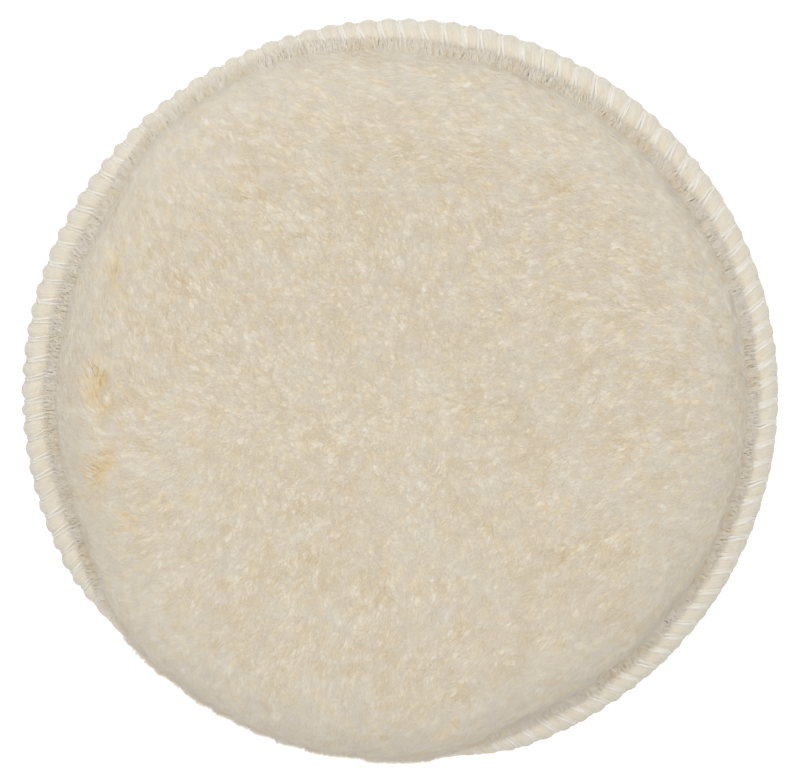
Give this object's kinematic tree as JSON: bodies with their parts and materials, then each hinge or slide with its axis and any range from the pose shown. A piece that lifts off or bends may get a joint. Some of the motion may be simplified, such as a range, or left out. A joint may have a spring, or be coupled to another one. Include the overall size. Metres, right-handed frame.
{
  "type": "polishing pad",
  "caption": "Round flat wool polishing pad with a brushed loop back and an overlocked, scalloped hem.",
  "frame": {"origin": "centre of the loop cloth's back face, which is the bottom of the pad's box", "axes": "+Z out of the wool face along the pad's axis; X and Y lie in the plane of the pad"},
  "size_m": [0.125, 0.125, 0.0166],
  "materials": {
    "loop_cloth": "brushed nylon loops",
    "foam": "open-cell foam",
    "latex": "dried latex",
    "ground_cloth": "plain weave",
    "wool": "combed wool pile",
    "hem_wool": "pressed wool",
    "thread": "textured polyester thread"
  },
  "bodies": {
    "root": {"loop_backing": "loop_cloth", "foam_interlayer": "foam", "latex_coat": "latex", "ground_cloth": "ground_cloth", "wool_pile": "wool", "hem_roll": "hem_wool", "needle_thread": "thread", "upper_looper_thread": "thread", "lower_looper_thread": "thread"}
  },
  "joints": []
}
